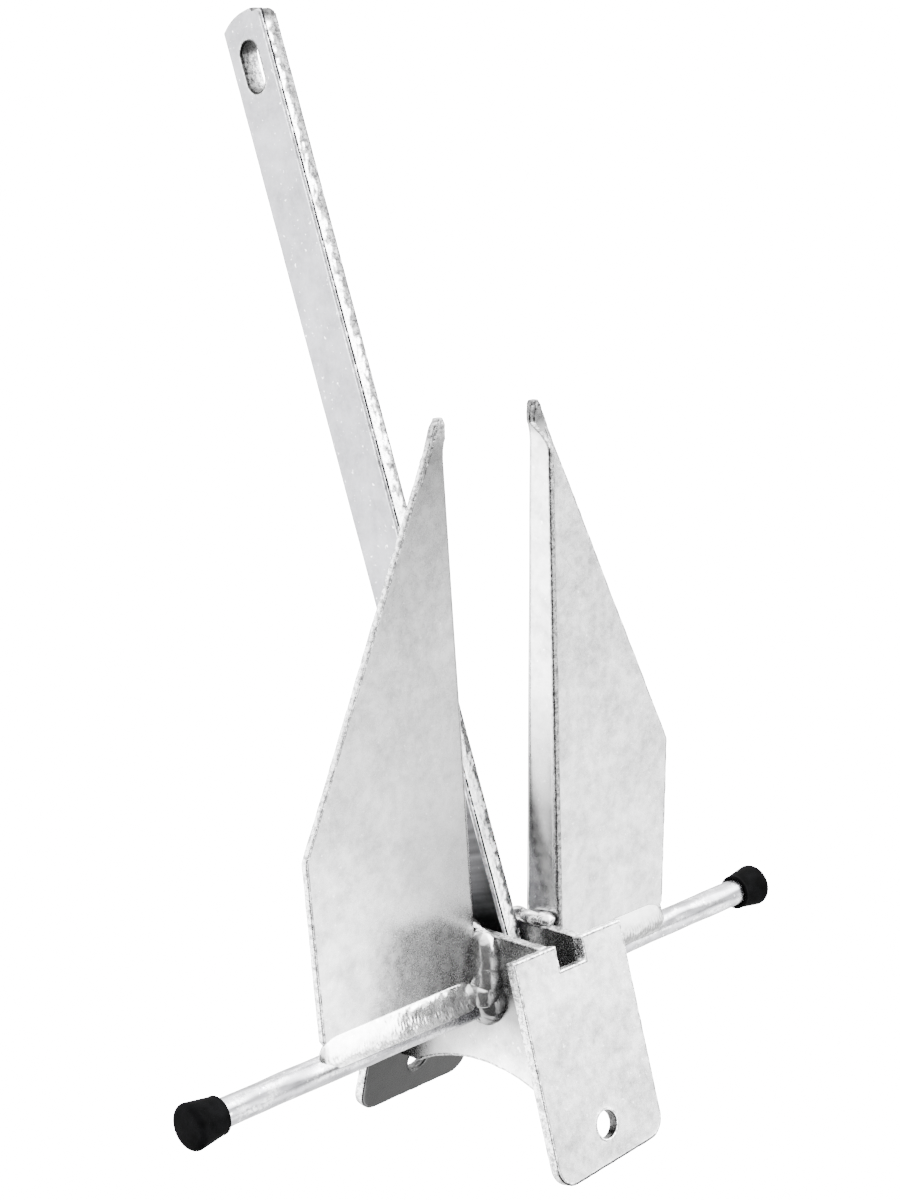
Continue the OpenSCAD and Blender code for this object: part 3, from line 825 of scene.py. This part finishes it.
class Nodes:
    """A small helper for building a tree of nodes."""

    def __init__(self, tree):
        self.tree = tree

    def node(self, kind, inputs=None, **settings):
        made = self.tree.nodes.new(kind)
        for key, value in settings.items():
            setattr(made, key, value)
        for key, value in (inputs or {}).items():
            self.join(value, made.inputs[key])
        return made

    def join(self, value, socket):
        if isinstance(value, bpy.types.NodeSocket):
            self.tree.links.new(value, socket)
        else:
            socket.default_value = value

    def math(self, operation, a, b=0.0):
        return self.node("ShaderNodeMath", {0: a, 1: b}, operation=operation).outputs[0]

    def vector(self, operation, inputs):
        return self.node("ShaderNodeVectorMath", inputs, operation=operation).outputs

    def noise(self, where, scale, detail=3.0, rough=0.55):
        inputs = {"Vector": where, "Scale": scale, "Detail": detail, "Roughness": rough}
        return self.node("ShaderNodeTexNoise", inputs).outputs["Fac"]

    def remap(self, value, low, high, to_low, to_high, **settings):
        inputs = {"Value": value, "From Min": low, "From Max": high, "To Min": to_low, "To Max": to_high}
        return self.node("ShaderNodeMapRange", inputs, **settings).outputs["Result"]

    def mix(self, share, a, b, kind="RGBA"):
        made = self.node("ShaderNodeMix", data_type=kind)
        self.join(share, made.inputs["Factor"])
        self.join(a, made.inputs["A"])
        self.join(b, made.inputs["B"])
        return made.outputs["Result"]

    def bump(self, height, distance, normal=None):
        inputs = {"Height": height, "Distance": distance, "Strength": 1.0}
        if normal is not None:
            inputs["Normal"] = normal
        return self.node("ShaderNodeBump", inputs).outputs["Normal"]

    def mark(self, name):
        return self.node("ShaderNodeAttribute", attribute_name=name).outputs["Fac"]


class Shader(Nodes):
    """The helper for a new material's nodes."""

    def __init__(self, name):
        self.material = bpy.data.materials.new(name)
        self.material.use_nodes = True
        super().__init__(self.material.node_tree)
        self.bsdf = self.tree.nodes["Principled BSDF"]


def zinc(name, dark, light, rough, wave, peel):
    """Hot-dip zinc: pale mottling, bright flecks, soft waves, and chipped edges with dark specks.

    dark and light are the mottling's colours, rough its least and most roughness, and wave and peel the
    heights of its broad waves and of its fine skin, in mm.
    """
    s = Shader(name)
    where = s.node("ShaderNodeTexCoord").outputs["Object"]
    cloud = s.noise(where, 36.0, 4.0, 0.6)
    patch = s.noise(where, 150.0, 5.0, 0.68)
    grain = s.noise(where, 800.0, 3.0, 0.7)
    edge, line, lighter, shine = (s.mark(key) for key in MARKS)

    mottle = s.math("ADD", s.remap(cloud, 0.38, 0.62, 0, 0.35), s.remap(patch, 0.36, 0.64, 0, 0.45))
    mottle = s.math("ADD", mottle, s.remap(grain, 0.3, 0.7, 0, 0.2))
    base = s.mix(mottle, (*dark, 1), (*light, 1))
    fleck = s.remap(s.noise(where, 330.0, 2.0, 0.6), 0.66, 0.74, 0, 0.7)
    base = s.mix(fleck, base, FLECK)
    # Calmer where it is painted darker
    plain = tuple((a + b) / 2 for a, b in zip(dark, light))
    base = s.mix(s.remap(lighter, 0.2, 1.0, 0.25, 1), (*plain, 1), base)
    chipped = s.remap(s.noise(where, 430.0, 4.0, 0.75), 0.42, 0.56, 0, 1)
    base = s.mix(s.math("MULTIPLY", edge, 0.75), base, s.mix(chipped, CHIP_DARK, CHIP_LIGHT))
    # Painted light and shade from each point's marks
    base = s.vector("SCALE", {0: base, "Scale": lighter})["Vector"]
    base = s.vector("MINIMUM", {0: base, 1: BRIGHTEST})["Vector"]
    broken = s.remap(s.noise(where, 200.0, 4.0, 0.7), 0.42, 0.52, 0, 1)
    base = s.mix(s.math("MULTIPLY", line, broken), base, LINE_DARK)
    s.join(base, s.bsdf.inputs["Base Color"])

    gloss = s.remap(patch, 0.36, 0.64, rough[0], rough[1])
    gloss = s.math("ADD", gloss, s.remap(grain, 0.3, 0.7, -0.03, 0.03))
    gloss = s.math("SUBTRACT", gloss, s.math("MULTIPLY", shine, 0.12))
    s.join(gloss, s.bsdf.inputs["Roughness"])
    s.bsdf.inputs["Metallic"].default_value = 0.97

    normal = s.bump(s.noise(where, 26.0, 2.0), wave * MM)
    normal = s.bump(s.noise(where, 260.0, 3.0), peel * MM, normal)
    worn_height = s.math("MULTIPLY", s.noise(where, 600.0, 3.0, 0.7), edge)
    normal = s.bump(worn_height, 0.4 * MM, normal)
    s.join(normal, s.bsdf.inputs["Normal"])
    return s.material


def rubber(name):
    """Black moulded rubber with a satin skin and a fine dusty grain."""
    s = Shader(name)
    where = s.node("ShaderNodeTexCoord").outputs["Object"]
    cloud = s.noise(where, 120.0, 4.0)
    grain = s.noise(where, 1800.0, 2.0)
    s.join(s.mix(s.remap(cloud, 0.35, 0.7, 0, 1), RUBBER_DARK, RUBBER_LIGHT), s.bsdf.inputs["Base Color"])
    s.join(s.remap(cloud, 0.3, 0.7, 0.42, 0.56), s.bsdf.inputs["Roughness"])
    s.bsdf.inputs["Specular IOR Level"].default_value = 0.01
    s.bsdf.inputs["IOR"].default_value = 1.25
    s.join(s.bump(grain, 0.05 * MM), s.bsdf.inputs["Normal"])
    return s.material


# ---------------------------------------------------------------- the studio
# The camera's place from the middle of the stock, in metres, its angles in degrees and its lens in mm
CAMERA_AT = (-0.9404, -0.8931, 0.5263)
CAMERA_HEADING, CAMERA_DIP, CAMERA_ROLL, CAMERA_LENS = 45.50, 13.14, -1.87, 75.0
# How bright the background is to the camera, and the dim room's strength by height
WHITE = 18.0
ROOM = ((-1.0, 0.14), (-0.3, 0.2), (0.4, 0.22), (0.62, 6.0), (1.0, 9.0))
RIGHT_SCREEN = ((-1.0, 0.4), (-0.75, 2.2), (-0.4, 7.5), (-0.28, 4.2), (-0.17, 1.5), (-0.06, 4.0),
                (0.06, 11.0), (0.3, 17.0), (0.7, 17.0), (1.0, 1.4))
BACK_SCREEN = ((-1.0, 3.0), (0.3, 3.0), (0.6, 5.0), (1.0, 2.0))
LEFT_SCREEN = ((-1.0, 1.1), (-0.5, 7.0), (-0.3, 11.0), (-0.05, 11.0), (0.2, 7.0), (0.6, 2.8), (1.0, 1.4))
# Each screen's side, the cosines where it begins and is full, and its strength by height
SCREENS = (((0.70, -0.71), 0.60, 0.93, RIGHT_SCREEN),
           ((0.70, 0.71), 0.20, 0.90, BACK_SCREEN),
           ((-0.70, 0.71), 0.60, 0.93, LEFT_SCREEN))


def make_camera():
    data = bpy.data.cameras.new("camera")
    data.sensor_fit, data.lens = "VERTICAL", CAMERA_LENS
    data.sensor_height = data.sensor_width = 36.0
    data.clip_start, data.clip_end = 0.05, 100
    camera = bpy.data.objects.new("camera", data)
    bpy.context.scene.collection.objects.link(camera)
    camera.location = Vector(MID) + Vector(CAMERA_AT)
    aim = Euler((radians_of(90 - CAMERA_DIP), 0, radians_of(-CAMERA_HEADING))).to_matrix()
    turned = aim @ Matrix.Rotation(radians_of(CAMERA_ROLL), 3, "Z")
    camera.rotation_euler = turned.to_euler()
    bpy.context.scene.camera = camera


def by_height(n, height, stops):
    """A strength that follows (height, strength) stops, from -1 straight down to 1 straight up."""
    most = max(strength for _, strength in stops)
    made = n.node("ShaderNodeValToRGB", {"Fac": n.math("MULTIPLY", n.math("ADD", height, 1.0), 0.5)})
    steps = made.color_ramp.elements
    for at, _ in stops[1:-1]:
        steps.new((at + 1) / 2)
    for step, (_, strength) in zip(steps, stops):
        step.color = (strength / most,) * 3 + (1,)
    return n.math("MULTIPLY", made.outputs["Color"], float(most))


def make_world():
    """Big soft screens to the right and left of the camera and behind the anchor, in a dim room.

    The camera sees plain white.
    """
    world = bpy.data.worlds.new("studio")
    world.use_nodes = True
    bpy.context.scene.world = world
    n = Nodes(world.node_tree)
    direction = n.node("ShaderNodeTexCoord").outputs["Generated"]
    height = n.node("ShaderNodeSeparateXYZ", {0: direction}).outputs["Z"]
    level = n.vector("MULTIPLY", {0: direction, 1: (1, 1, 0)})["Vector"]
    heading = n.vector("NORMALIZE", {0: level})["Vector"]
    total = by_height(n, height, ROOM)
    for toward, start, full, stops in SCREENS:
        to_screen = Vector((*toward, 0)).normalized()
        facing = n.vector("DOT_PRODUCT", {0: heading, 1: to_screen})["Value"]
        edge = n.remap(facing, start, full, 0.0, 1.0, interpolation_type="SMOOTHSTEP")
        total = n.math("ADD", total, n.math("MULTIPLY", edge, by_height(n, height, stops)))
    seen = n.node("ShaderNodeLightPath").outputs["Is Camera Ray"]
    back = n.tree.nodes["Background"]
    n.join(n.mix(seen, total, WHITE, "FLOAT"), back.inputs["Strength"])
    back.inputs["Color"].default_value = (1, 1, 1, 1)


def make_floor():
    mesh = bpy.data.meshes.new("floor")
    disc = bmesh.new()
    bmesh.ops.create_circle(disc, cap_ends=True, segments=96, radius=14)
    disc.to_mesh(mesh)
    disc.free()
    floor = bpy.data.objects.new("floor", mesh)
    bpy.context.scene.collection.objects.link(floor)
    floor.location.z = -0.5 * MM
    floor.visible_glossy = False
    s = Shader("floor_paper")
    mesh.materials.append(s.material)
    paper = s.node("ShaderNodeBsdfDiffuse", {"Color": PAPER}).outputs[0]
    glow = s.node("ShaderNodeEmission", {"Strength": WHITE / 0.9}).outputs[0]
    share = s.math("MULTIPLY", s.node("ShaderNodeLightPath").outputs["Is Camera Ray"], 0.9)
    mixed = s.node("ShaderNodeMixShader", {0: share, 1: paper, 2: glow}).outputs[0]
    s.join(mixed, s.tree.nodes["Material Output"].inputs["Surface"])


# ---------------------------------------------------------------- everything together
make_camera()
make_world()
make_floor()

PLATE = zinc("zinc_plate", dark=(0.26, 0.26, 0.263), light=(0.68, 0.68, 0.68), rough=(0.25, 0.30),
             wave=0.12, peel=0.015)
BAR = zinc("zinc_bar", dark=(0.13, 0.13, 0.138), light=(0.26, 0.26, 0.275), rough=(0.32, 0.38),
           wave=0.15, peel=0.04)
WELD = zinc("zinc_weld", dark=(0.30, 0.30, 0.30), light=(0.58, 0.58, 0.58), rough=(0.15, 0.22),
            wave=0.05, peel=0.03)
RUBBER = rubber("black_rubber")

# The numbers are seeds, which give each piece bumps of its own
make_shank(BAR)
make_rod(BAR)
make_crown_plate("front", PLATE, 40)
make_crown_plate("back", PLATE, 45)
for hand, more in (("left", 0), ("right", 5)):
    make_cap(hand, RUBBER)
    make_cheek(hand, PLATE, 50 + more)
    make_fluke(hand, PLATE, 60 + more)
    make_root_weld(hand, WELD, 70 + more)
    make_ring_weld(hand, WELD, 80 + more)
    make_flange_weld(hand, WELD, 90 + more)
    make_long_bead(hand, False, WELD, 100 + more)
    make_long_bead(hand, True, WELD, 102 + more)
for end, seed in (("front", 120), ("back", 125)):
    for sign in (-1, 1):
        make_seam_weld(end, sign, WELD, seed + sign)
